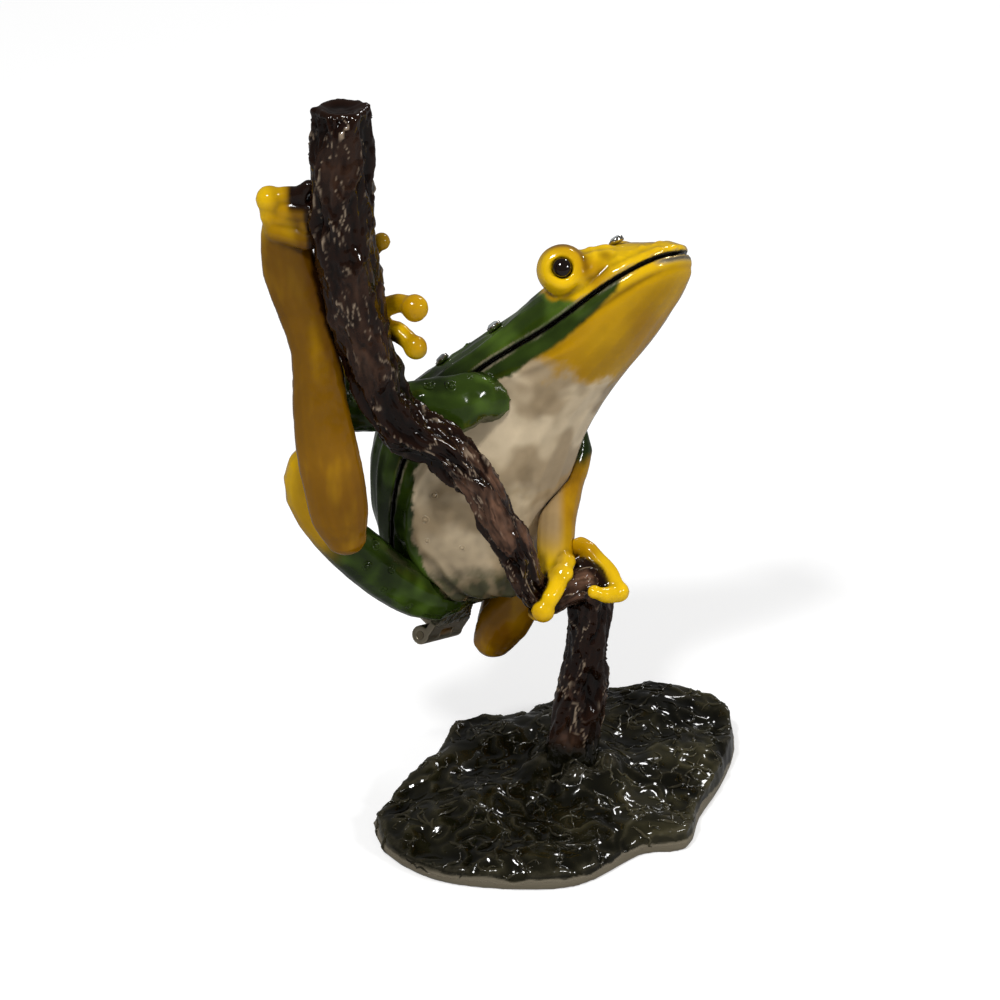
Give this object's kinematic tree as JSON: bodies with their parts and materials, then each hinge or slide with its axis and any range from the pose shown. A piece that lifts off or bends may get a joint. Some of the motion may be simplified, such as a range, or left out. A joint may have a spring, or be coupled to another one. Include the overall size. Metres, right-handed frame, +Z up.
{
  "type": "hinged figurine trinket box",
  "caption": "Hinged metal trinket box in the form of an enamelled tree frog clinging to a bare branch on a mossy rock; the back with the upper head swings up as the lid.",
  "frame": {"origin": "middle of the rock's underside", "axes": "+Z up along the branch, +X the way the frog looks, +Y away from the side that shows the frog's right flank"},
  "size_m": [0.0583, 0.0524, 0.095],
  "materials": {
    "moss_enamel": "glossy dark green-black enamel over cast pewter",
    "bark_enamel": "glossy dark brown enamel over cast pewter",
    "belly_enamel": "glossy cream enamel with a yellow throat and a green flank edge",
    "back_enamel": "glossy green enamel, yellow on the head",
    "arm_enamel": "glossy enamel, green at the shoulder and yellow at the hand",
    "leg_enamel": "glossy enamel, green at the thigh and yellow at the foot",
    "hinge_pewter": "bare darkened pewter, satin",
    "magnet_nickel": "nickel plated",
    "black_glass": "polished black-brown cabochon",
    "crystal": "faceted clear crystal with foil behind it"
  },
  "bodies": {
    "box": {"rock_base": "moss_enamel", "branch": "bark_enamel", "belly_shell": "belly_enamel", "right_arm": "arm_enamel", "left_arm": "arm_enamel", "right_hind_leg": "leg_enamel", "left_hind_leg": "leg_enamel", "box_knuckles": "hinge_pewter", "hinge_pin": "hinge_pewter", "jaw_magnet": "magnet_nickel"},
    "lid": {"back_shell": "back_enamel", "lid_knuckle": "hinge_pewter", "lid_magnet": "magnet_nickel", "right_eye": "black_glass", "left_eye": "black_glass", "back_crystals": "crystal"}
  },
  "joints": [
    {"name": "lid_hinge", "type": "hinge", "parent": "box", "child": "lid", "pos_m": [-0.01444, 0.00598, 0.02042], "axis": [-0.4917, -0.8192, 0.2954], "range_deg": [0, 85]}
  ]
}
